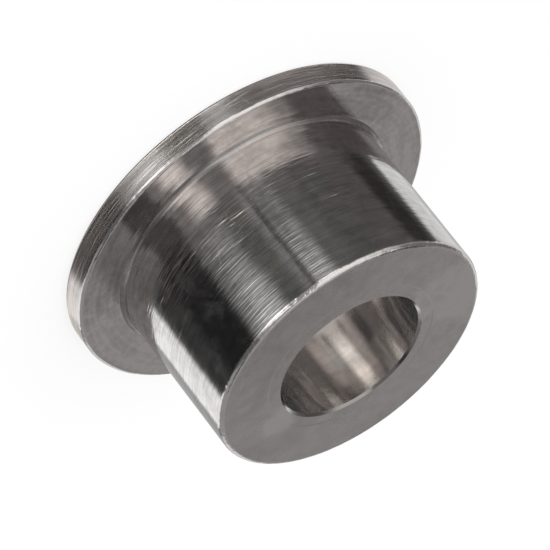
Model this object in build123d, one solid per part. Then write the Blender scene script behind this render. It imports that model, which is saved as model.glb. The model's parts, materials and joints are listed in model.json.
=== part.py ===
from build123d import *
import os

# A flanged bushing, turned from one bar of steel. Lengths are in millimetres.
# +Z runs along the axis towards the nose. The origin is the centre of the flange's back face,
# and the bushing stands on that face.

# Main sizes
barrel_diameter = 18.0
flange_diameter = 24.0
bore_diameter = 9.5
overall_length = 12.35
flange_thickness = 1.65

# Small turned features
root_radius = 0.3  # rounded corner where the barrel meets the flange
flange_edge_radius = 0.2  # both rounded rims of the flange
nose_edge_radius = 0.3  # rounded outer rim of the nose
bore_mouth_chamfer = 0.15  # both mouths of the bore
face_ring_width = 0.75  # shallow ring that the facing tool left round the bore, on the nose
face_ring_depth = 0.03
face_ring_slope = 0.12  # width of the ring's sloped outer wall


def blank_profile():
    """Half section of the flange and barrel, from the axis outwards, with sharp corners."""
    barrel_radius = barrel_diameter / 2
    flange_radius = flange_diameter / 2
    outline = Polyline(
        (0, 0),
        (flange_radius, 0),
        (flange_radius, flange_thickness),
        (barrel_radius, flange_thickness),
        (barrel_radius, overall_length),
        (0, overall_length),
        close=True,
    )
    return make_face(outline)


def corners_at(profile, radius, height):
    """The corner of the half section at this radius and height."""
    corner = Vector(radius, height)
    return profile.vertices().sort_by_distance(corner)[:1]


def round_corners(profile):
    """Round the root and the outer rims of the half section."""
    barrel_radius = barrel_diameter / 2
    flange_radius = flange_diameter / 2
    profile = fillet(corners_at(profile, barrel_radius, flange_thickness), root_radius)
    profile = fillet(corners_at(profile, flange_radius, 0), flange_edge_radius)
    profile = fillet(corners_at(profile, flange_radius, flange_thickness), flange_edge_radius)
    profile = fillet(corners_at(profile, barrel_radius, overall_length), nose_edge_radius)
    return profile


def turn(profile):
    """Revolve a half section, drawn as radius and height, about the Z axis."""
    upright = Plane.XZ * profile
    return revolve(upright, axis=Axis.Z)


def bore_cut():
    """What the drill and the countersinks take away: the through bore and its two mouths."""
    bore_radius = bore_diameter / 2
    mouth_radius = bore_radius + bore_mouth_chamfer
    outline = Polyline(
        (0, 0),
        (mouth_radius, 0),
        (bore_radius, bore_mouth_chamfer),
        (bore_radius, overall_length - face_ring_depth - bore_mouth_chamfer),
        (mouth_radius, overall_length - face_ring_depth),
        (mouth_radius, overall_length),
        (0, overall_length),
        close=True,
    )
    return turn(make_face(outline))


def face_ring_cut():
    """The shallow ring round the bore on the nose, with a sloped outer wall."""
    floor_radius = bore_diameter / 2 + bore_mouth_chamfer + face_ring_width
    outline = Polyline(
        (0, overall_length - face_ring_depth),
        (floor_radius, overall_length - face_ring_depth),
        (floor_radius + face_ring_slope, overall_length),
        (0, overall_length),
        close=True,
    )
    return turn(make_face(outline))


def flanged_bushing():
    """The finished bushing as one solid."""
    blank = turn(round_corners(blank_profile()))
    return blank - bore_cut() - face_ring_cut()


os.makedirs("parts", exist_ok=True)
bushing = flanged_bushing()
export_step(bushing, "parts/flanged_bushing.step")
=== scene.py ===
"""A flanged steel bushing, turned on a lathe, in a small photographic studio."""

import json
import math

import bmesh
import bpy
from mathutils import Matrix, Vector, noise


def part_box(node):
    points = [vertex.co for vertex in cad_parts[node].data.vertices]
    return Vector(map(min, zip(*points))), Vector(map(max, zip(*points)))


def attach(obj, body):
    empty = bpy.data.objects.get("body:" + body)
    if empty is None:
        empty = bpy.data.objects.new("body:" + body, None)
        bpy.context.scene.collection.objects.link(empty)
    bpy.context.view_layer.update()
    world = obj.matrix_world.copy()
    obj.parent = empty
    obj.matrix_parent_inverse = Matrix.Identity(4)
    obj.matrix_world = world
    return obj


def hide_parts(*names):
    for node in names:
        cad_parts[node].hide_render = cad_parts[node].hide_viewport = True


bl_info = {
    "name": "Flanged Bushing",
    "version": (1, 0, 0),
    "blender": (4, 5, 0),
    "location": "View3D > Sidebar > Bushing",
    "description": "Builds a turned steel bushing with a flange, and the studio it is shown in",
    "category": "Add Mesh",
}

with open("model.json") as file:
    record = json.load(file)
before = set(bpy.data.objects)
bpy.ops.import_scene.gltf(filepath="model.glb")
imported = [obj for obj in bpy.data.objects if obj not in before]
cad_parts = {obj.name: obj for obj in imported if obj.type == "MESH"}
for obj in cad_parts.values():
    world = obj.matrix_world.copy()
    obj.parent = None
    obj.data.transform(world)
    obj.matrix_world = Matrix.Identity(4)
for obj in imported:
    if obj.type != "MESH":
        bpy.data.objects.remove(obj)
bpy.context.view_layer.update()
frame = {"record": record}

NODE = "flanged_bushing"
MM = 0.001


# Sizes that the frame gives

def mount_named(name):
    """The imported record's mount of this name."""
    return next(mount for mount in frame["record"]["mounts"] if mount["name"] == name)


NODE_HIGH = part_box(NODE)[1]
FLANGE_RADIUS = NODE_HIGH.x
OVERALL_LENGTH = NODE_HIGH.z
BARREL_RADIUS = mount_named("barrel_outside")["dims"]["r_mm"] * MM
BORE_RADIUS = mount_named("bore")["dims"]["r_mm"] * MM
FLANGE_THICKNESS = mount_named("flange_shoulder")["pos_m"][2]


# Properties that a user would change

class BushingSizes(bpy.types.PropertyGroup):
    """Sizes of the bushing that its finish depends on."""

    root_radius: bpy.props.FloatProperty(
        name="Root radius",
        description="Rounded corner where the barrel meets the flange",
        default=0.3 * MM, min=0.05 * MM, precision=5, unit="LENGTH")
    root_band: bpy.props.FloatProperty(
        name="Root band",
        description="Height above the flange of the band where the turning tool ran out",
        default=0.61 * MM, min=0.4 * MM, precision=5, unit="LENGTH")
    root_rise: bpy.props.FloatProperty(
        name="Root rise",
        description="How much the barrel's radius grows over the root band",
        default=0.02 * MM, min=0.0, precision=5, unit="LENGTH")
    nose_radius: bpy.props.FloatProperty(
        name="Nose rim radius",
        description="Rounded outer rim of the nose",
        default=0.3 * MM, min=0.05 * MM, precision=5, unit="LENGTH")
    flange_radius: bpy.props.FloatProperty(
        name="Flange rim radius",
        description="Rounded rims of the flange",
        default=0.2 * MM, min=0.05 * MM, precision=5, unit="LENGTH")
    mouth_chamfer: bpy.props.FloatProperty(
        name="Bore mouth chamfer",
        description="Width of the chamfer at both mouths of the bore",
        default=0.15 * MM, min=0.02 * MM, precision=5, unit="LENGTH")
    bore_offset: bpy.props.FloatProperty(
        name="Bore offset",
        description="How far the drill ran off the axis, towards +Y",
        default=0.15 * MM, min=0.0, precision=5, unit="LENGTH")
    ring_width: bpy.props.FloatProperty(
        name="Face ring width",
        description="Width of the shallow ring round the bore on the nose",
        default=0.75 * MM, min=0.1 * MM, precision=5, unit="LENGTH")
    ring_slope: bpy.props.FloatProperty(
        name="Face ring slope",
        description="Width of the ring's sloped outer wall",
        default=0.12 * MM, min=0.02 * MM, precision=5, unit="LENGTH")
    ring_depth: bpy.props.FloatProperty(
        name="Face ring depth",
        description="Depth of the shallow ring round the bore on the nose",
        default=0.03 * MM, min=0.005 * MM, precision=5, unit="LENGTH")
    rim_wander: bpy.props.FloatProperty(
        name="Rim wander",
        description="How far the rounded rims wander from a true circle",
        default=0.02 * MM, min=0.0, precision=5, unit="LENGTH")
    turn_steps: bpy.props.IntProperty(
        name="Steps round",
        description="Number of flat steps in a full turn of the lathe",
        default=384, min=48, max=1024)


class BushingFinish(bpy.types.PropertyGroup):
    """Colours of the steel and of the studio."""

    steel: bpy.props.FloatVectorProperty(
        name="Steel", description="Colour of the bare turned steel",
        default=(0.590, 0.576, 0.569), size=3, min=0.0, max=1.0, subtype="COLOR")
    # Also the colour of painted shade: the tone, the dark edges and the patches mix the steel towards it and
    # past it
    smudged_and_shaded_steel: bpy.props.FloatVectorProperty(
        name="Smudged steel", description="Colour of the steel under smudges and handling marks",
        default=(0.440, 0.426, 0.418), size=3, min=0.0, max=1.0, subtype="COLOR")
    floor: bpy.props.FloatVectorProperty(
        name="Floor", description="Colour of the studio floor",
        default=(0.92, 0.92, 0.92), size=3, min=0.0, max=1.0, subtype="COLOR")


# Node helpers

NOISE_LACUNARITY = 2.3  # how much finer each octave of a noise is than the one before


def add_node(tree, kind, **values):
    """A new node of this kind, with its own settings."""
    node = tree.nodes.new(kind)
    for name, value in values.items():
        setattr(node, name, value)
    return node


def feed(tree, socket, source):
    """Link a socket to a source socket, or set it to a plain value."""
    if isinstance(source, bpy.types.NodeSocket):
        tree.links.new(source, socket)
    else:
        socket.default_value = source


def math_node(tree, operation, first, second=0.0):
    """The result of one Math node."""
    node = add_node(tree, "ShaderNodeMath", operation=operation)
    feed(tree, node.inputs[0], first)
    feed(tree, node.inputs[1], second)
    return node.outputs[0]


def add_scaled(tree, total, value, factor):
    """A total plus a value times a factor."""
    return math_node(tree, "ADD", total, math_node(tree, "MULTIPLY", value, factor))


def vector_node(tree, operation, first, second=(0.0, 0.0, 0.0)):
    """One Vector Math node."""
    node = add_node(tree, "ShaderNodeVectorMath", operation=operation)
    feed(tree, node.inputs[0], first)
    feed(tree, node.inputs[1], second)
    return node


def remap(tree, value, low, high, to_low=0.0, to_high=1.0):
    """A value remapped smoothly from one range to another, clamped at both ends."""
    node = add_node(tree, "ShaderNodeMapRange", interpolation_type="SMOOTHSTEP")
    for name, source in (("Value", value), ("From Min", low), ("From Max", high),
                         ("To Min", to_low), ("To Max", to_high)):
        feed(tree, node.inputs[name], source)
    return node.outputs["Result"]


def noise_node(tree, vector, scale, detail=2.0, roughness=0.5, distortion=0.0):
    """The value of one Noise Texture."""
    node = add_node(tree, "ShaderNodeTexNoise")
    node.inputs["Lacunarity"].default_value = NOISE_LACUNARITY
    feed(tree, node.inputs["Vector"], vector)
    feed(tree, node.inputs["Scale"], scale)
    feed(tree, node.inputs["Detail"], detail)
    feed(tree, node.inputs["Roughness"], roughness)
    feed(tree, node.inputs["Distortion"], distortion)
    return node.outputs["Fac"]


def combine(tree, x, y, z):
    """A vector from three values."""
    node = add_node(tree, "ShaderNodeCombineXYZ")
    for socket, source in zip(node.inputs, (x, y, z)):
        feed(tree, socket, source)
    return node.outputs[0]


def mix_colour(tree, factor, first, second):
    """A mix of two colours. A factor above 1 goes on past the second one."""
    node = add_node(tree, "ShaderNodeMix", data_type="RGBA", clamp_factor=False)
    feed(tree, node.inputs["Factor"], factor)
    feed(tree, node.inputs["A"], first)
    feed(tree, node.inputs["B"], second)
    return node.outputs["Result"]


def mix_shaders(tree, factor, first, second):
    """A mix of two shaders."""
    node = add_node(tree, "ShaderNodeMixShader")
    for socket, source in zip(node.inputs, (factor, first, second)):
        feed(tree, socket, source)
    return node.outputs[0]


def new_material(name):
    """A material with nothing but its output, as the material, its tree and its Surface socket."""
    material = bpy.data.materials.new(name)
    material.use_nodes = True
    tree = material.node_tree
    tree.nodes.clear()
    output = add_node(tree, "ShaderNodeOutputMaterial")
    return material, tree, output.inputs["Surface"]


def new_group(name, inputs, outputs):
    """An empty shader node group with named sockets, and its input and output nodes."""
    group = bpy.data.node_groups.new(name, "ShaderNodeTree")
    for label, kind in inputs:
        group.interface.new_socket(label, in_out="INPUT", socket_type=kind)
    for label, kind in outputs:
        group.interface.new_socket(label, in_out="OUTPUT", socket_type=kind)
    return group, add_node(group, "NodeGroupInput"), add_node(group, "NodeGroupOutput")


def place_group(tree, group, **values):
    """A group placed in a material with its own values, by socket name with _ for a space."""
    node = add_node(tree, "ShaderNodeGroup", node_tree=group)
    for name, source in values.items():
        feed(tree, node.inputs[name.replace("_", " ")], source)
    return node


# Effects that the steel's materials share

LINE_LEAN_X = 0.13  # how far the pattern drifts round the axis from each line to the next
LINE_LEAN_Y = -0.09
FINE_LINE_ROUGHNESS = 0.35
WIDE_LINE_SCALE = 0.31
GROOVE_SCALE = 0.6
GROOVE_EDGES = (0.56, 0.72)  # noise values at which a groove begins and is at full depth
PATCHY_SIZE = 1.7 * MM  # size of the areas in which the lines are weaker or stronger
PATCHY_EDGES = (0.35, 0.65)
PATCHY_STRENGTHS = (0.55, 1.05)
TONE_EDGES = (0.7, 1.3)


def lathe_line_group():
    """Tool lines that run round the axis, on a wall (Face 0) or a flat face (Face 1), as height and tone."""
    name = "Lathe Lines"
    if name in bpy.data.node_groups:
        return bpy.data.node_groups[name]
    group, given, made = new_group(
        name,
        [("Position", "NodeSocketVector"), ("Face", "NodeSocketFloat"), ("Pitch", "NodeSocketFloat"),
         ("Reach", "NodeSocketFloat"), ("Fine Depth", "NodeSocketFloat"), ("Wide Depth", "NodeSocketFloat"),
         ("Groove Depth", "NodeSocketFloat"), ("Seed", "NodeSocketFloat")],
        [("Height", "NodeSocketFloat"), ("Tone", "NodeSocketFloat")])
    parts = add_node(group, "ShaderNodeSeparateXYZ")
    feed(group, parts.inputs[0], given.outputs["Position"])
    x, y, z = parts.outputs
    squares = add_scaled(group, math_node(group, "MULTIPLY", x, x), y, y)
    radius = math_node(group, "SQRT", squares)
    across = add_scaled(group, z, given.outputs["Face"], math_node(group, "SUBTRACT", radius, z))
    turn_x = math_node(group, "MULTIPLY", math_node(group, "DIVIDE", x, radius), given.outputs["Reach"])
    turn_y = math_node(group, "MULTIPLY", math_node(group, "DIVIDE", y, radius), given.outputs["Reach"])
    lines = math_node(group, "ADD", math_node(group, "DIVIDE", across, given.outputs["Pitch"]),
                      given.outputs["Seed"])
    lean_x = add_scaled(group, turn_x, lines, LINE_LEAN_X)
    lean_y = add_scaled(group, turn_y, lines, LINE_LEAN_Y)
    fine = noise_node(group, combine(group, lean_x, lean_y, lines), 1.0, detail=1.0,
                      roughness=FINE_LINE_ROUGHNESS)
    wide = noise_node(group, combine(group, lean_y, lean_x, lines), WIDE_LINE_SCALE, detail=1.0)
    cuts = noise_node(group, combine(group, lean_y, lines, lean_x), GROOVE_SCALE, detail=1.0)
    grooves = remap(group, cuts, *GROOVE_EDGES)
    patchy = noise_node(group, given.outputs["Position"], 1 / PATCHY_SIZE)
    strength = remap(group, patchy, *PATCHY_EDGES, *PATCHY_STRENGTHS)
    centred = math_node(group, "MULTIPLY", math_node(group, "SUBTRACT", fine, 0.5), strength)
    height = math_node(group, "MULTIPLY", centred, given.outputs["Fine Depth"])
    height = add_scaled(group, height, wide, given.outputs["Wide Depth"])
    height = math_node(group, "SUBTRACT", height, math_node(
        group, "MULTIPLY", grooves, given.outputs["Groove Depth"]))
    feed(group, made.inputs["Height"], height)
    feed(group, made.inputs["Tone"], remap(group, math_node(group, "ADD", fine, wide), *TONE_EDGES))
    return group


SMUDGE_DETAIL = 4.0
SMUDGE_ROUGHNESS = 0.62
SMUDGE_DISTORTION = 0.6
SMUDGE_EDGES = (0.44, 0.66)
MOTTLE_FINENESS = 5.0  # how much finer the mottle is than the smudges
MOTTLE_DETAIL = 3.0
MOTTLE_EDGES = (0.3, 0.7)
WAVE_FINENESS = 2.2  # how much finer the waves are than the smudges


def smudge_group():
    """Soft patches where the steel has been handled, a finer mottle, and the gentle waves under both."""
    name = "Handling Smudges"
    if name in bpy.data.node_groups:
        return bpy.data.node_groups[name]
    group, given, made = new_group(
        name,
        [("Position", "NodeSocketVector"), ("Size", "NodeSocketFloat"), ("Seed", "NodeSocketFloat")],
        [("Mask", "NodeSocketFloat"), ("Mottle", "NodeSocketFloat"), ("Waves", "NodeSocketFloat")])
    seed = combine(group, given.outputs["Seed"], 0.0, given.outputs["Seed"])
    shift = vector_node(group, "ADD", given.outputs["Position"], seed)
    scale = math_node(group, "DIVIDE", 1.0, given.outputs["Size"])
    patches = noise_node(group, shift.outputs[0], scale, detail=SMUDGE_DETAIL,
                         roughness=SMUDGE_ROUGHNESS, distortion=SMUDGE_DISTORTION)
    mottle_scale = math_node(group, "MULTIPLY", scale, MOTTLE_FINENESS)
    mottle = noise_node(group, shift.outputs[0], mottle_scale, detail=MOTTLE_DETAIL)
    wave_scale = math_node(group, "MULTIPLY", scale, WAVE_FINENESS)
    waves = noise_node(group, shift.outputs[0], wave_scale, detail=1.0)
    feed(group, made.inputs["Mask"], remap(group, patches, *SMUDGE_EDGES))
    feed(group, made.inputs["Mottle"], remap(group, mottle, *MOTTLE_EDGES))
    feed(group, made.inputs["Waves"], waves)
    return group


SCRATCH_CELL = 2.4 * MM
SCRATCH_WIDTH = 0.015 * MM
SCRATCH_DEPTH = 0.0015 * MM
SCRATCH_ROUGHNESS = 0.08
SCRATCH_ENDS = (0.42, 0.2)  # distances from its cell's centre at which a scratch ends and is whole


def scratch_group():
    """Thin straight scratches in every direction, each inside its own cell, from 0 to 1."""
    name = "Stray Scratches"
    if name in bpy.data.node_groups:
        return bpy.data.node_groups[name]
    group, given, made = new_group(
        name,
        [("Position", "NodeSocketVector"), ("Cell", "NodeSocketFloat"), ("Width", "NodeSocketFloat"),
         ("Share", "NodeSocketFloat"), ("Seed", "NodeSocketFloat")],
        [("Mask", "NodeSocketFloat")])
    seed = combine(group, 0.0, given.outputs["Seed"], 0.0)
    shift = vector_node(group, "ADD", given.outputs["Position"], seed)
    cells = add_node(group, "ShaderNodeTexVoronoi")
    feed(group, cells.inputs["Vector"], shift.outputs[0])
    feed(group, cells.inputs["Scale"], math_node(group, "DIVIDE", 1.0, given.outputs["Cell"]))
    away = vector_node(group, "SUBTRACT", shift.outputs[0], cells.outputs["Position"])
    centred = vector_node(group, "SUBTRACT", cells.outputs["Color"], (0.5, 0.5, 0.5))
    facing = vector_node(group, "NORMALIZE", centred.outputs[0])
    dot = vector_node(group, "DOT_PRODUCT", away.outputs[0], facing.outputs[0])
    off_line = math_node(group, "ABSOLUTE", dot.outputs["Value"])
    line = remap(group, off_line, given.outputs["Width"], 0.0)
    inside = remap(group, cells.outputs["Distance"], *SCRATCH_ENDS)
    chance = add_node(group, "ShaderNodeSeparateXYZ")
    feed(group, chance.inputs[0], cells.outputs["Color"])
    kept = math_node(group, "LESS_THAN", chance.outputs[0], given.outputs["Share"])
    mask = math_node(group, "MULTIPLY", math_node(group, "MULTIPLY", line, inside), kept)
    feed(group, made.inputs["Mask"], mask)
    return group


PAINTED_PATCH_GRAIN = 0.9 * MM  # size of the unevenness at the edge of a patch of painted light or shade
PAINTED_PATCH_DETAIL = 3.0
PAINTED_PATCH_DISTORTION = 0.8
PAINTED_PATCH_EDGES = (1.5, 0.7)  # distance as a share of the patch's size, plus the unevenness


def painted_patch_group():
    """A soft round patch with an uneven edge, in which light or shade is painted onto the steel and its
    roughness changed.
    """
    name = "Worn Patch"
    if name in bpy.data.node_groups:
        return bpy.data.node_groups[name]
    group, given, made = new_group(
        name,
        [("Position", "NodeSocketVector"), ("Centre", "NodeSocketVector"), ("Size", "NodeSocketFloat")],
        [("Mask", "NodeSocketFloat")])
    away = vector_node(group, "DISTANCE", given.outputs["Position"], given.outputs["Centre"])
    share = math_node(group, "DIVIDE", away.outputs["Value"], given.outputs["Size"])
    uneven = noise_node(group, given.outputs["Position"], 1 / PAINTED_PATCH_GRAIN, detail=PAINTED_PATCH_DETAIL,
                        distortion=PAINTED_PATCH_DISTORTION)
    feed(group, made.inputs["Mask"], remap(group, math_node(group, "ADD", share, uneven), *PAINTED_PATCH_EDGES))
    return group


# Materials

QUARTER_TURN = 0.25


def steel_material(name, finish, roughness, spread, face=0.0, pitch=0.2 * MM, reach=3.0, fine_depth=0.0,
                   wide_depth=0.0, groove_depth=0.0, line_shade=0.0, wave_depth=0.0, smudge_size=3.2 * MM,
                   smudge_shade=0.3, smudge_rough=0.04, mottle_shade=0.15, tone=0.0, film=0.0, haze=0.0,
                   scratch_share=0.3, patches=(), seed=0.0):
    """Bare turned steel: tool lines, smudges, a few scratches, and round patches painted lighter or darker.
    The spread is how much further a reflection blurs across the lines than along them. The film and the haze
    are the shares of the metal that a thin dull layer hides, all over and in clouds. A shade of 1 is the
    smudged steel. The tone is a shade all over the surface, and with the patches it paints light and shade."""
    material, tree, surface = new_material(name)
    shader = add_node(tree, "ShaderNodeBsdfPrincipled")
    shader.inputs["Anisotropic"].default_value = spread
    shader.inputs["Anisotropic Rotation"].default_value = QUARTER_TURN
    tangent = add_node(tree, "ShaderNodeTangent", direction_type="RADIAL", axis="Z")
    feed(tree, shader.inputs["Tangent"], tangent.outputs[0])
    position = add_node(tree, "ShaderNodeTexCoord").outputs["Object"]
    lines = place_group(tree, lathe_line_group(), Position=position, Face=face, Pitch=pitch, Reach=reach,
                        Fine_Depth=fine_depth, Wide_Depth=wide_depth, Groove_Depth=groove_depth, Seed=seed)
    smudges = place_group(tree, smudge_group(), Position=position, Size=smudge_size, Seed=seed * MM)
    scratches = place_group(tree, scratch_group(), Position=position, Cell=SCRATCH_CELL,
                            Width=SCRATCH_WIDTH, Share=scratch_share, Seed=seed * MM)
    mask, mottle = smudges.outputs["Mask"], smudges.outputs["Mottle"]
    shade = add_scaled(tree, tone, mask, smudge_shade)
    shade = add_scaled(tree, shade, mottle, mottle_shade)
    shade = add_scaled(tree, shade, lines.outputs["Tone"], line_shade)
    rough = add_scaled(tree, roughness, mask, smudge_rough)
    rough = add_scaled(tree, rough, scratches.outputs["Mask"], SCRATCH_ROUGHNESS)
    # Each patch paints the steel darker where its shade is above 0 and lighter where it is below: painted
    # shade and painted highlights
    for centre, size, patch_rough, patch_shade in patches:
        patch = place_group(tree, painted_patch_group(), Position=position, Centre=centre, Size=size)
        rough = add_scaled(tree, rough, patch.outputs[0], patch_rough)
        shade = add_scaled(tree, shade, patch.outputs[0], patch_shade)
    feed(tree, shader.inputs["Base Color"],
         mix_colour(tree, math_node(tree, "MAXIMUM", shade, 0.0),
                    (*finish.steel, 1.0), (*finish.smudged_and_shaded_steel, 1.0)))
    feed(tree, shader.inputs["Roughness"], rough)
    shader.inputs["Metallic"].default_value = 1.0 - film
    if haze:
        cloud = math_node(tree, "MULTIPLY", mask, mottle)
        feed(tree, shader.inputs["Metallic"], math_node(
            tree, "SUBTRACT", 1.0 - film, math_node(tree, "MULTIPLY", cloud, haze)))
    height = add_scaled(tree, lines.outputs["Height"], smudges.outputs["Waves"], wave_depth)
    height = add_scaled(tree, height, scratches.outputs["Mask"], -SCRATCH_DEPTH)
    bump = add_node(tree, "ShaderNodeBump")
    bump.inputs["Distance"].default_value = 1.0
    feed(tree, bump.inputs["Height"], height)
    feed(tree, shader.inputs["Normal"], bump.outputs[0])
    feed(tree, surface, shader.outputs[0])
    return material


# Patches of painted light and shade: centre, size, added roughness, added shade (darker above 0, lighter
# below)

# Painted highlights: lighter, rougher arcs in the shallow ring at both ends of the bore
RING_PATCHES = (
    ((-5.8 * MM, 0.6 * MM, OVERALL_LENGTH), 1.9 * MM, 0.3, -0.9),
    ((5.6 * MM, 1.0 * MM, OVERALL_LENGTH), 1.7 * MM, 0.3, -0.9),
)
# Painted highlights: they take the painted shade off the nose's mouth chamfer at both ends of the bore
MOUTH_PATCHES = (
    ((-4.8 * MM, 0.9 * MM, OVERALL_LENGTH), 1.8 * MM, 0.04, -1.9),
    ((4.7 * MM, 1.1 * MM, OVERALL_LENGTH), 1.6 * MM, 0.04, -1.9),
)
# Painted shade: darkens a pale reflected streak on the bore wall
BORE_PATCHES = (
    ((2.2 * MM, 4.3 * MM, 11.5 * MM), 2.0 * MM, 0.0, 1.0),
)
# Painted shade on the flange face near the barrel's two sides, the first also blurring the edge of the
# barrel's reflection
FACE_PATCHES = (
    ((9.3 * MM, -5.6 * MM, FLANGE_THICKNESS), 4.4 * MM, 0.16, 0.9),
    ((-9.8 * MM, -4.2 * MM, FLANGE_THICKNESS), 4.4 * MM, 0.0, 0.9),
)
# Painted shade: a darker, rougher root crease at the barrel's two sides
ROOT_PATCHES = (
    ((9.0 * MM, -2.0 * MM, FLANGE_THICKNESS), 5.0 * MM, 0.25, 1.0),
    ((-9.0 * MM, -1.5 * MM, FLANGE_THICKNESS), 4.0 * MM, 0.25, 1.1),
)
# Painted shade on the flange rim at its front and at its two sides, and a painted highlight between the
# front and the -X side
RIM_PATCHES = (
    ((-0.5 * MM, -12.0 * MM, 0.8 * MM), 2.4 * MM, 0.0, 0.9),
    ((11.8 * MM, -1.7 * MM, 0.8 * MM), 2.2 * MM, 0.0, 1.1),
    ((-11.8 * MM, -1.7 * MM, 0.8 * MM), 2.2 * MM, 0.0, 0.9),
    ((-8.2 * MM, -8.8 * MM, 0.8 * MM), 6.5 * MM, 0.02, -0.8),
)
# The ring's painted highlights, a lighter, rougher patch towards -X, and painted shade towards the front
NOSE_PATCHES = (
    *RING_PATCHES,
    ((-7.4 * MM, 1.8 * MM, OVERALL_LENGTH), 4.4 * MM, 0.32, -0.9),
    ((1.5 * MM, -9.0 * MM, OVERALL_LENGTH), 9.5 * MM, 0.0, 0.5),
)

# The finish of each turned surface; its tone and patches paint light and shade onto it

SURFACE_FINISHES = {
    "barrel": dict(
        roughness=0.08, spread=0.6, pitch=0.10 * MM, reach=6.0, fine_depth=0.008 * MM, wide_depth=0.006 * MM,
        groove_depth=0.002 * MM, line_shade=0.8, wave_depth=0.006 * MM, mottle_shade=0.65, tone=-0.35,
        haze=0.075, seed=0.0),
    "flange_face": dict(
        roughness=0.05, spread=0.4, face=1.0, pitch=0.30 * MM, fine_depth=0.0008 * MM,
        wide_depth=0.002 * MM, line_shade=0.8, wave_depth=0.001 * MM, smudge_size=2.2 * MM,
        smudge_rough=0.08, mottle_shade=0.6, tone=-0.6, haze=0.05, scratch_share=0.0,
        patches=FACE_PATCHES, seed=11.0),
    "flange_rim": dict(
        roughness=0.18, spread=0.75, pitch=0.11 * MM, reach=5.0, fine_depth=0.011 * MM,
        wide_depth=0.009 * MM, groove_depth=0.003 * MM, line_shade=0.9, tone=0.1, film=0.03,
        patches=RIM_PATCHES, seed=23.0),
    "nose_face": dict(
        roughness=0.26, spread=0.3, face=1.0, fine_depth=0.001 * MM, wide_depth=0.001 * MM,
        wave_depth=0.012 * MM, smudge_size=4.5 * MM, smudge_shade=0.3, mottle_shade=0.3, tone=0.45,
        patches=NOSE_PATCHES, seed=37.0),
    "bore": dict(
        roughness=0.055, spread=0.3, pitch=0.25 * MM, fine_depth=0.0003 * MM, wide_depth=0.0006 * MM,
        line_shade=0.4, wave_depth=0.001 * MM, smudge_size=2.0 * MM, smudge_rough=0.02, film=0.11,
        scratch_share=0.0, patches=BORE_PATCHES, seed=41.0),
    "rounded_rim": dict(
        roughness=0.12, spread=0.3, face=1.0, pitch=0.13 * MM, reach=30.0, fine_depth=0.017 * MM,
        groove_depth=0.006 * MM, film=0.03, scratch_share=0.0, seed=53.0),
    # The root's tone paints shade into the crease where the barrel meets the flange
    "root": dict(
        roughness=0.24, spread=0.6, face=1.0, pitch=0.1 * MM, fine_depth=0.008 * MM, tone=1.1,
        scratch_share=0.0, patches=ROOT_PATCHES, seed=61.0),
    "ring_slope": dict(
        roughness=0.36, spread=0.2, face=1.0, pitch=0.1 * MM, reach=9.0, fine_depth=0.003 * MM,
        tone=0.65, smudge_shade=0.0, scratch_share=0.0, patches=RING_PATCHES, seed=71.0),
    # Painted shade: a strong tone darkens the bore's mouth chamfers and the flange's back rim
    "painted_dark_edge": dict(
        roughness=0.16, spread=0.3, face=1.0, pitch=0.15 * MM, reach=14.0, fine_depth=0.008 * MM,
        tone=1.9, scratch_share=0.0, patches=MOUTH_PATCHES, seed=83.0),
}
SURFACES = tuple(SURFACE_FINISHES)


def bushing_materials(finish):
    """One steel material for each turned surface, in the order of SURFACES."""
    return [steel_material(surface + "_steel", finish, **SURFACE_FINISHES[surface]) for surface in SURFACES]


# The bushing's mesh

SUPPORT_SHARE = 1.08  # distance of a support point from its corner, as a share of the rounding
SHARP_ANGLE = math.radians(30)
MERGE_DISTANCE = 1e-7
SAME_PLACE = 1e-6
ROOT_GROOVE = 0.05 * MM  # half width of the groove at the top of the root band
ROOT_GROOVE_RATIO = 6  # its half width as a multiple of its depth
ROOT_SEGMENTS = 12
FLANGE_SEGMENTS = 6
NOSE_SEGMENTS = 8
CHAMFER_SEGMENTS = 1
MOUTH_REACH = 1.5  # how far beyond the bore its offset reaches, as a multiple of the chamfer


def rim_corner(radius, height, rounding, inwards, from_face):
    """A rim's corner between two support points, which keep the faces beside the rounding flat."""
    support = rounding * SUPPORT_SHARE
    points = [(radius - support, height), (radius, height), (radius, height + inwards * support)]
    return points if from_face else points[::-1]


def half_section(sizes):
    """Corners of the bushing's half section as radius and height, with support points at the roundings."""
    root_wall = BARREL_RADIUS + sizes.root_rise
    support = sizes.root_radius * SUPPORT_SHARE
    eased = sizes.root_rise * (1 - support / sizes.root_band)
    band_top = FLANGE_THICKNESS + sizes.root_band
    ring_floor = OVERALL_LENGTH - sizes.ring_depth
    ring_inner = BORE_RADIUS + sizes.mouth_chamfer + sizes.ring_width
    return [
        (BORE_RADIUS, 0.0),
        *rim_corner(FLANGE_RADIUS, 0.0, sizes.flange_radius, 1, True),
        *rim_corner(FLANGE_RADIUS, FLANGE_THICKNESS, sizes.flange_radius, -1, False),
        (root_wall + support, FLANGE_THICKNESS),
        (root_wall, FLANGE_THICKNESS),
        (BARREL_RADIUS + eased, FLANGE_THICKNESS + support),
        (BARREL_RADIUS, band_top),
        (BARREL_RADIUS - ROOT_GROOVE / ROOT_GROOVE_RATIO, band_top + ROOT_GROOVE),
        (BARREL_RADIUS, band_top + 2 * ROOT_GROOVE),
        *rim_corner(BARREL_RADIUS, OVERALL_LENGTH, sizes.nose_radius, -1, False),
        (ring_inner + sizes.ring_slope, OVERALL_LENGTH),
        (ring_inner, ring_floor),
        (BORE_RADIUS, ring_floor),
    ]


def radius_of(point):
    """Distance of a point from the axis."""
    return math.hypot(point.x, point.y)


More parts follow.
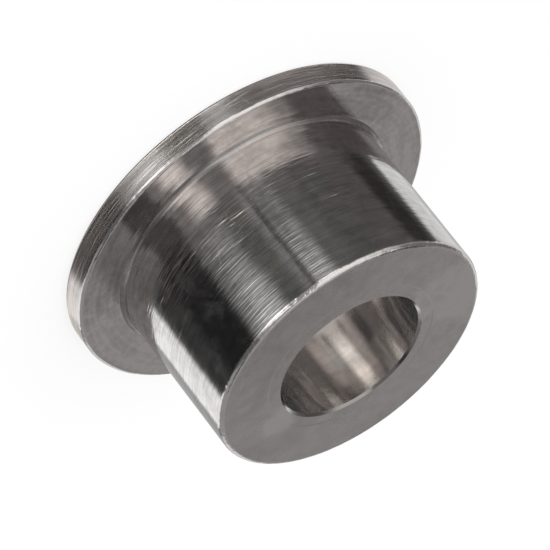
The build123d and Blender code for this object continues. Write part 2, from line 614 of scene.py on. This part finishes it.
def spin_section(mesh, corners, steps):
    """Turn the half section about the axis into a closed ring."""
    points = [mesh.verts.new((radius, 0.0, height)) for radius, height in corners]
    section = [mesh.edges.new((point, points[index - 1])) for index, point in enumerate(points)]
    bmesh.ops.spin(mesh, geom=points + section, cent=(0, 0, 0), axis=(0, 0, 1), angle=math.tau,
                   steps=steps, use_merge=True)
    bmesh.ops.remove_doubles(mesh, verts=mesh.verts, dist=MERGE_DISTANCE)


def loop_at(mesh, radius, height):
    """The edges of the circle at this radius and height."""
    return [edge for edge in mesh.edges if all(
        abs(radius_of(vertex.co) - radius) < SAME_PLACE and abs(vertex.co.z - height) < SAME_PLACE
        for vertex in edge.verts)]


def bevel_corner(mesh, radius, height, width, segments):
    """Round the circular edge at this radius and height, or break it flat with one segment."""
    bmesh.ops.bevel(mesh, geom=loop_at(mesh, radius, height), offset=width, offset_type="OFFSET",
                    segments=segments, profile=0.5, affect="EDGES", material=-1)


SLOW_WANDER = 9.0  # how quickly the slow and the quick part of the wander change round the axis
QUICK_WANDER = 44.0
QUICK_SHIFT = 3  # keeps the quick part from repeating the slow one
WANDER_PER_HEIGHT = 900  # gives each rim a wander of its own
WANDER_SHARE = 0.7  # share of the wander that goes towards the axis, and again down


def wander_rims(mesh, sizes):
    """Let the rounded rims of the nose and of the flange's front wander a little inwards."""
    corners = ((BARREL_RADIUS, OVERALL_LENGTH, sizes.nose_radius),
               (FLANGE_RADIUS, FLANGE_THICKNESS, sizes.flange_radius))
    for vertex in mesh.verts:
        radius = radius_of(vertex.co)
        for corner_radius, corner_height, width in corners:
            depth = corner_height - vertex.co.z
            inset = corner_radius - radius
            inner = width - SAME_PLACE
            if not (SAME_PLACE < depth < inner and SAME_PLACE < inset < inner):
                continue
            direction = Vector((vertex.co.x, vertex.co.y, 0)).normalized()
            layer = corner_height * WANDER_PER_HEIGHT
            ripple = 0.5 + 0.5 * noise.noise(direction * SLOW_WANDER + Vector((0, 0, layer)))
            ripple += 0.5 * noise.noise(direction * QUICK_WANDER + Vector((QUICK_SHIFT, 0, layer)))
            inwards = direction * -WANDER_SHARE + Vector((0, 0, -WANDER_SHARE))
            vertex.co += inwards * max(ripple, 0.0) * sizes.rim_wander


ROOT_REACH = 1.05  # how far the root reaches above the flange, as a multiple of its radius
# The upright part of a face's normal, from 0 on a wall to 1 on a level face
LEVEL = 0.997
GENTLE_SLOPE = 0.9
ROUNDED = 0.12
UPRIGHT = 0.05


def surface_of(face, sizes):
    """Which turned surface a face belongs to, as a number in SURFACES."""
    middle = face.calc_center_median()
    radius = radius_of(middle)
    flat = abs(face.normal.z)
    on_nose = middle.z > (FLANGE_THICKNESS + OVERALL_LENGTH) / 2
    on_flange = radius > (BARREL_RADIUS + FLANGE_RADIUS) / 2
    at_root = abs(middle.z - FLANGE_THICKNESS) < sizes.root_radius * ROOT_REACH and not on_flange
    inner = radius < BORE_RADIUS + sizes.mouth_chamfer + sizes.ring_width + sizes.ring_slope
    if flat > LEVEL:
        name = "nose_face" if on_nose else "flange_face"
    elif inner and flat < UPRIGHT:
        name = "bore"
    elif inner:
        name = "ring_slope" if flat > GENTLE_SLOPE else "painted_dark_edge"
    elif at_root and flat > UPRIGHT:
        name = "root"
    elif flat > ROUNDED and (on_nose or on_flange):
        name = "rounded_rim" if middle.z > FLANGE_THICKNESS / 2 else "painted_dark_edge"
    else:
        name = "flange_rim" if on_flange else "barrel"
    return SURFACES.index(name)


def give_surfaces(mesh, sizes):
    """Give each face its turned surface, and keep creases and the border of the ring's slope sharp."""
    slope = SURFACES.index("ring_slope")
    for face in mesh.faces:
        face.smooth = True
        face.material_index = surface_of(face, sizes)
    for edge in mesh.edges:
        sides = [face.material_index == slope for face in edge.link_faces]
        edge.smooth = edge.calc_face_angle(0.0) < SHARP_ANGLE and sides[0] == sides[1]


def shift_bore(mesh, sizes):
    """Move the bore and its mouths off the axis."""
    mouth = BORE_RADIUS + sizes.mouth_chamfer * MOUTH_REACH
    for vertex in mesh.verts:
        if radius_of(vertex.co) < mouth:
            vertex.co.y += sizes.bore_offset


def turned_mesh(sizes):
    """The whole bushing as one closed mesh."""
    mesh = bmesh.new()
    spin_section(mesh, half_section(sizes), sizes.turn_steps)
    root_wall = BARREL_RADIUS + sizes.root_rise
    ring_floor = OVERALL_LENGTH - sizes.ring_depth
    bevel_corner(mesh, root_wall, FLANGE_THICKNESS, sizes.root_radius, ROOT_SEGMENTS)
    bevel_corner(mesh, FLANGE_RADIUS, 0.0, sizes.flange_radius, FLANGE_SEGMENTS)
    bevel_corner(mesh, FLANGE_RADIUS, FLANGE_THICKNESS, sizes.flange_radius, FLANGE_SEGMENTS)
    bevel_corner(mesh, BARREL_RADIUS, OVERALL_LENGTH, sizes.nose_radius, NOSE_SEGMENTS)
    bevel_corner(mesh, BORE_RADIUS, 0.0, sizes.mouth_chamfer, CHAMFER_SEGMENTS)
    bevel_corner(mesh, BORE_RADIUS, ring_floor, sizes.mouth_chamfer, CHAMFER_SEGMENTS)
    wander_rims(mesh, sizes)
    bmesh.ops.recalc_face_normals(mesh, faces=mesh.faces)
    give_surfaces(mesh, sizes)
    shift_bore(mesh, sizes)
    data = bpy.data.meshes.new("turned_bushing")
    mesh.to_mesh(data)
    mesh.free()
    return data


# The studio

CARD_RADIUS = 0.60
CARD_STEP = 0.008  # how much nearer each card is than the one before
CARD_GRID = 4  # degrees from one line of a card's grid to the next
NO_FEATHER = 1e-4  # the narrowest feather, which looks like none
BAR_SHARE = 0.7  # how much darker or brighter than its card a bar is
BAR_EDGES = (0.36, 0.64)


def soft_card_material(name, brightness, tint, feather, bars=0.0):
    """A glowing card whose edges fade out. Its UV map runs from 0 to 1 across it. The feather is the
    share of the card over which its left, right, bottom and top edges fade. The bars are how many thin
    uneven bars lie across it, like those of a blind."""
    material, tree, surface = new_material(name)
    material.cycles.emission_sampling = "NONE"
    place = add_node(tree, "ShaderNodeSeparateXYZ")
    feed(tree, place.inputs[0], add_node(tree, "ShaderNodeUVMap", uv_map="card").outputs[0])
    across, up = place.outputs[0], place.outputs[1]
    left, right, bottom, top = (max(share, NO_FEATHER) for share in feather)
    mask = 1.0
    for value, edge, inner in ((across, 0.0, left), (across, 1.0, 1.0 - right), (up, 0.0, bottom),
                               (up, 1.0, 1.0 - top)):
        mask = math_node(tree, "MULTIPLY", mask, remap(tree, value, edge, inner))
    glow = add_node(tree, "ShaderNodeEmission")
    glow.inputs["Color"].default_value = (*tint, 1.0)
    strength = brightness
    if bars:
        slats = noise_node(tree, combine(tree, across, math_node(tree, "MULTIPLY", up, bars), 0.0), 1.0)
        strength = remap(tree, slats, *BAR_EDGES, brightness * (1 - BAR_SHARE), brightness * (1 + BAR_SHARE))
    feed(tree, glow.inputs["Strength"], strength)
    clear = add_node(tree, "ShaderNodeBsdfTransparent")
    feed(tree, surface, mix_shaders(tree, mask, clear.outputs[0], glow.outputs[0]))
    return material


def card_mesh(columns, rows):
    """A square grid one unit across, with its UV map."""
    mesh = bmesh.new()
    uv = mesh.loops.layers.uv.new("card")
    bmesh.ops.create_grid(mesh, x_segments=columns, y_segments=rows, size=0.5)
    for face in mesh.faces:
        for loop in face.loops:
            loop[uv].uv = (loop.vert.co.x + 0.5, loop.vert.co.y + 0.5)
    return mesh


def new_object(name, mesh, material):
    """A new object in the scene, made from its mesh, in one material."""
    data = bpy.data.meshes.new(name)
    mesh.to_mesh(data)
    mesh.free()
    data.materials.append(material)
    made = bpy.data.objects.new(name, data)
    bpy.context.scene.collection.objects.link(made)
    return made


HIDDEN_FROM = ("camera", "diffuse", "transmission", "shadow", "volume_scatter")  # rays that pass cards by


def studio_object(name, mesh, material):
    """A card of the studio, made from its mesh, that only reflections see."""
    made = new_object(name, mesh, material)
    for rays in HIDDEN_FROM:
        setattr(made, "visible_" + rays, False)


def card(radius, name, azimuths, elevations, brightness, tint, feather, slant, bars=0.0):
    """A curved card round the object, seen only by reflections. Azimuth 0 is the camera's side and
    grows towards +X. Angles and feathers are in degrees; the slant is how far the top leans over."""
    span = (azimuths[1] - azimuths[0], elevations[1] - elevations[0])
    mesh = card_mesh(max(2, round(span[0] / CARD_GRID)), max(2, round(span[1] / CARD_GRID)))
    for vertex in mesh.verts:
        azimuth = math.radians(azimuths[0] + span[0] * (vertex.co.x + 0.5) + slant * vertex.co.y)
        elevation = math.radians(elevations[0] + span[1] * (vertex.co.y + 0.5))
        vertex.co = (radius * math.cos(elevation) * math.sin(azimuth),
                     -radius * math.cos(elevation) * math.cos(azimuth),
                     radius * math.sin(elevation))
    shares = [feather[0] / span[0], feather[1] / span[0], feather[2] / span[1], feather[3] / span[1]]
    studio_object(name, mesh, soft_card_material(name, brightness, tint, shares, bars))


PLAIN = (1.00, 1.00, 1.00)
OLIVE = (1.01, 1.025, 0.955)
ROOM = (1.035, 0.985, 0.98)
ROSE = (1.08, 0.955, 0.965)
WARM = (1.065, 0.99, 0.945)

CARDS = (
    # name, azimuths, elevations, brightness, tint, feather, slant, and bars if it has them
    ("room_back", (-180, 180), (-14, 89), 0.395, ROOM, (0, 0, 0, 0), 0),
    ("dark_table", (-180, 180), (-89, 2), 0.114, PLAIN, (0, 0, 0, 12), 0),
    ("rosy_table", (-108, -62), (-70, -4), 0.114, ROSE, (6, 14, 8, 8), 0),
    ("haze_right", (-54, -10), (-60, -4), 0.155, PLAIN, (12, 6, 10, 8), 0),
    ("olive_table", (-3, 16), (-60, -4), 0.125, OLIVE, (3, 6, 10, 8), 0),
    ("grey_left", (136, 178), (-60, 6), 0.45, PLAIN, (8, 10, 8, 10), 0),
    ("paper_back", (160, 202), (-60, 6), 0.50, PLAIN, (12, 8, 8, 8), 0),
    ("shade_left", (78, 107), (-75, 6), 0.053, PLAIN, (8, 4, 8, 6), 0),
    ("flag_left", (43, 88), (-75, 6), 0.022, PLAIN, (8, 8, 8, 6), 5),
    ("flag_right", (-125, -97), (-75, -2), 0.04, WARM, (8, 8, 8, 6), 0),
    ("paper_left", (103.5, 144), (-60, 12), 1.28, PLAIN, (9, 5, 8, 12), -45),
    ("paper_right", (-168, -121.5), (-60, 10), 0.88, PLAIN, (16, 8, 8, 10), 45),
    ("wall_right", (-150, -80), (6, 44), 0.20, ROSE, (12, 6, 6, 6), 0),
    ("window_right", (-92, -8), (-14, 80), 1.38, WARM, (50, 10, 34, 14), 0),
    ("wall_left", (42, 80), (2, 46), 0.13, ROOM, (5, 8, 6, 6), 0),
    ("window_left", (7, 40), (-12, 46), 1.65, WARM, (14, 14, 28, 8), -12),
    ("edge_left", (138, 170), (-14, 24), 0.95, PLAIN, (8, 8, 8, 8), 0),
    ("edge_right", (-170, -138), (-14, 24), 0.95, PLAIN, (8, 8, 8, 8), 0),
    ("top_light", (-114, -4), (44, 84), 1.2, PLAIN, (14, 8, 8, 8), 0),
    ("zenith_light", (-180, 180), (70, 89.5), 0.8, PLAIN, (0, 0, 8, 0), 0),
    ("flag_high_left", (56, 134), (42, 66), 0.08, PLAIN, (6, 10, 8, 8), 0),
    ("flag_high_right", (-164, -112), (39, 62), 0.08, ROSE, (10, 6, 8, 8), 0),
    ("streak_left", (6, 51), (-38, 2), 3.2, PLAIN, (16, 25, 36, 4), -8, 16),
    ("streak_right", (-35, -12), (-39, 2), 1.9, PLAIN, (10, 5, 36, 4), 0, 16),
    ("slot_light", (-10.2, 2), (-56, -6), 0.26, PLAIN, (1, 11, 10, 8), 0),
)


def make_cards():
    """The softboxes, papers and dark flags round the object, each nearer than the one before."""
    for layer, values in enumerate(CARDS):
        card(CARD_RADIUS - layer * CARD_STEP, *values)


CREAM = (1.05, 1.00, 0.93)
BROWN = (1.10, 0.97, 0.91)

BORE_CARD_RADIUS = 0.036
BORE_CARD_STEP = 0.0002

BORE_CARDS = (
    # name, azimuths, elevations, brightness, tint, feather, slant
    ("low_table", (-180, 180), (-31, -24.5), 0.24, BROWN, (0, 0, 0, 0), 0),
    ("low_gap", (-118, -74), (-31, -24.5), 0.05, BROWN, (12, 14, 0, 0), 0),
    ("low_left", (80, 136), (-29.6, -24.5), 1.0, BROWN, (26, 10, 0.6, 0), 0),
    ("low_middle", (122, 172), (-31, -24.5), 1.0, CREAM, (12, 4, 0, 0), 0),
    ("low_right", (198, 254), (-31, -24.5), 0.95, BROWN, (4, 28, 0, 0), 0),
    ("low_core", (150, 212), (-31, -24.5), 2.9, CREAM, (22, 20, 0, 0), 0),
    ("low_back", (140, 222), (-31, -27.9), 0.45, BROWN, (10, 10, 0, 0.6), 0),
    ("deep_table", (-180, 180), (-38, -30.7), 0.45, BROWN, (0, 0, 0, 0), 0),
    ("deep_glow", (-138, 100), (-38, -29.3), 1.7, BROWN, (34, 34, 0, 0.3), 0),
    ("deep_core", (-44, 50), (-38, -29.3), 6.0, CREAM, (34, 34, 0, 0.3), 0),
)

BORE_FAN_DEPTH = 0.2 * MM
BORE_FAN_BRIGHTNESS = 1.5
BORE_FAN_FEATHER = (0.45, 0.45, 0.25, 0.25)
BORE_FAN_GRID = (12, 24)
BORE_FAN = (
    # distance along +Y and half width, in millimetres
    (-1.9, 0.30), (-1.1, 0.26), (1.3, 1.06),
)


def make_bore_cards():
    """Cards below the flange, which show only through the bore, as bands along its wall."""
    for layer, values in enumerate(BORE_CARDS):
        card(BORE_CARD_RADIUS - layer * BORE_CARD_STEP, *values)


def make_bore_fan():
    """A small lit fan under the bore, which carries the brightest band on down the wall."""
    mesh = card_mesh(*BORE_FAN_GRID)
    stations = [along for along, half_width in BORE_FAN]
    for vertex in mesh.verts:
        along = stations[0] + (stations[-1] - stations[0]) * (vertex.co.y + 0.5)
        low, high = (BORE_FAN[:2] if along < stations[1] else BORE_FAN[1:])
        share = (along - low[0]) / (high[0] - low[0])
        half_width = low[1] + (high[1] - low[1]) * share
        vertex.co = (2 * half_width * vertex.co.x * MM, along * MM, -BORE_FAN_DEPTH)
    material = soft_card_material("bore_fan", BORE_FAN_BRIGHTNESS, CREAM, BORE_FAN_FEATHER)
    studio_object("bore_fan", mesh, material)


def seen_directly(tree):
    """1 for camera, glossy and transmission rays, and 0 for the rest."""
    path = add_node(tree, "ShaderNodeLightPath")
    seen = math_node(tree, "MAXIMUM", path.outputs["Is Camera Ray"], path.outputs["Is Glossy Ray"])
    return math_node(tree, "MAXIMUM", seen, path.outputs["Is Transmission Ray"])


FLOOR_RADIUS = 1.5
FLOOR_SEGMENTS = 96
FLOOR_LIFT = 0.8  # how much of the floor is plain white to the camera


def make_floor(finish):
    """A pale floor that keeps the bushing's soft shadow, and is clear from below."""
    material, tree, surface = new_material("studio_floor")
    paint = add_node(tree, "ShaderNodeBsdfDiffuse")
    paint.inputs["Color"].default_value = (*finish.floor, 1.0)
    white = add_node(tree, "ShaderNodeEmission")
    clear = add_node(tree, "ShaderNodeBsdfTransparent")
    lift = math_node(tree, "MULTIPLY", seen_directly(tree), FLOOR_LIFT)
    lifted = mix_shaders(tree, lift, paint.outputs[0], white.outputs[0])
    below = add_node(tree, "ShaderNodeNewGeometry").outputs["Backfacing"]
    feed(tree, surface, mix_shaders(tree, below, lifted, clear.outputs[0]))
    mesh = bmesh.new()
    bmesh.ops.create_circle(mesh, cap_ends=True, segments=FLOOR_SEGMENTS, radius=FLOOR_RADIUS)
    for face in mesh.faces:
        face.normal_update()
        if face.normal.z < 0:
            face.normal_flip()
    floor = new_object("studio_floor", mesh, material)
    floor.visible_glossy = False


def make_world():
    """White to the camera and to reflections, and plain soft light for the rest."""
    world = bpy.data.worlds.new("studio")
    world.use_nodes = True
    tree = world.node_tree
    tree.nodes.clear()
    output = add_node(tree, "ShaderNodeOutputWorld")
    plain = add_node(tree, "ShaderNodeBackground")
    white = add_node(tree, "ShaderNodeBackground")
    white.inputs["Color"].default_value = (1.0, 1.0, 1.0, 1.0)
    mix = mix_shaders(tree, seen_directly(tree), plain.outputs[0], white.outputs[0])
    feed(tree, output.inputs["Surface"], mix)
    bpy.context.scene.world = world


LAMP_SIZE = 0.5
LAMP_ENERGY = 1.6
LAMP_PLACE = (-0.15, -0.1, 0.6)


def make_lamp():
    """One large soft lamp over the floor."""
    data = bpy.data.lights.new("soft_lamp", "AREA")
    data.shape = "DISK"
    data.size = LAMP_SIZE
    data.energy = LAMP_ENERGY
    lamp = bpy.data.objects.new("soft_lamp", data)
    lamp.location = LAMP_PLACE
    lamp.rotation_euler = (-lamp.location).to_track_quat("-Z", "Y").to_euler()
    lamp.visible_glossy = False
    bpy.context.scene.collection.objects.link(lamp)


PHOTO_WIDTH = 550
SENSOR_MM = 36.0
FOCAL_PIXELS = 5948.0
CAMERA_DISTANCE = 0.3497
CAMERA_ELEVATION = math.radians(29.53)
CAMERA_ROLL = math.radians(142.13)
CAMERA_TARGET_HEIGHT = 6.995 * MM
TARGET_PIXEL = (301.7, 293.1)  # where the photograph shows the axis at the target's height
CLIP_NEAR = 0.01
CLIP_FAR = 10.0


def make_camera():
    """The photograph's camera: a long lens that looks down on the nose, turned about its own axis."""
    data = bpy.data.cameras.new("camera")
    data.sensor_width = SENSOR_MM
    data.lens = SENSOR_MM * FOCAL_PIXELS / PHOTO_WIDTH
    data.clip_start = CLIP_NEAR
    data.clip_end = CLIP_FAR
    camera = bpy.data.objects.new("camera", data)
    bpy.context.scene.collection.objects.link(camera)
    tilt = Matrix.Rotation(math.pi / 2 - CAMERA_ELEVATION, 3, "X")
    turn = tilt @ Matrix.Rotation(CAMERA_ROLL, 3, "Z")
    per_pixel = CAMERA_DISTANCE / FOCAL_PIXELS
    centre = PHOTO_WIDTH / 2
    across = (TARGET_PIXEL[0] - centre) * per_pixel
    down = (TARGET_PIXEL[1] - centre) * per_pixel
    middle = Vector((0, 0, CAMERA_TARGET_HEIGHT))
    camera.location = middle - turn @ Vector((across, -down, -CAMERA_DISTANCE))
    camera.rotation_mode = "QUATERNION"
    camera.rotation_quaternion = turn.to_quaternion()
    bpy.context.scene.camera = camera


# Operators, panel and registration

class BUSHING_OT_turn(bpy.types.Operator):
    """Turn the steel bushing and give each surface its finish"""

    bl_idname = "bushing.turn"
    bl_label = "Turn bushing"

    def execute(self, context):
        scene = context.scene
        piece = bpy.data.objects.new("turned_bushing", turned_mesh(scene.bushing_sizes))
        scene.collection.objects.link(piece)
        for material in bushing_materials(scene.bushing_finish):
            piece.data.materials.append(material)
        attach(piece, "root")
        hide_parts(NODE)
        return {"FINISHED"}


class BUSHING_OT_studio(bpy.types.Operator):
    """Set up the floor, the cards, the lamp, the world and the camera"""

    bl_idname = "bushing.studio"
    bl_label = "Set up studio"

    def execute(self, context):
        make_floor(context.scene.bushing_finish)
        make_cards()
        make_bore_cards()
        make_bore_fan()
        make_lamp()
        make_world()
        make_camera()
        context.scene.view_settings.view_transform = "Standard"
        return {"FINISHED"}


class BUSHING_PT_sidebar(bpy.types.Panel):
    """Sizes, colours and steps of the bushing"""

    bl_label = "Flanged bushing"
    bl_idname = "BUSHING_PT_sidebar"
    bl_space_type = "VIEW_3D"
    bl_region_type = "UI"
    bl_category = "Bushing"

    def draw(self, context):
        layout = self.layout
        for group in (context.scene.bushing_sizes, context.scene.bushing_finish):
            for name in group.bl_rna.properties.keys():
                if name not in ("rna_type", "name"):
                    layout.prop(group, name)
        layout.operator(BUSHING_OT_turn.bl_idname)
        layout.operator(BUSHING_OT_studio.bl_idname)


CLASSES = (BushingSizes, BushingFinish, BUSHING_OT_turn, BUSHING_OT_studio, BUSHING_PT_sidebar)


def register():
    """Register the classes and put the property groups on the scene."""
    for cls in CLASSES:
        bpy.utils.register_class(cls)
    bpy.types.Scene.bushing_sizes = bpy.props.PointerProperty(type=BushingSizes)
    bpy.types.Scene.bushing_finish = bpy.props.PointerProperty(type=BushingFinish)


def unregister():
    """Take the property groups off the scene and unregister the classes."""
    del bpy.types.Scene.bushing_finish
    del bpy.types.Scene.bushing_sizes
    for cls in reversed(CLASSES):
        bpy.utils.unregister_class(cls)


def main():
    """Build the bushing and the studio."""
    register()
    bpy.ops.bushing.turn()
    bpy.ops.bushing.studio()


if __name__ == "__main__":
    main()
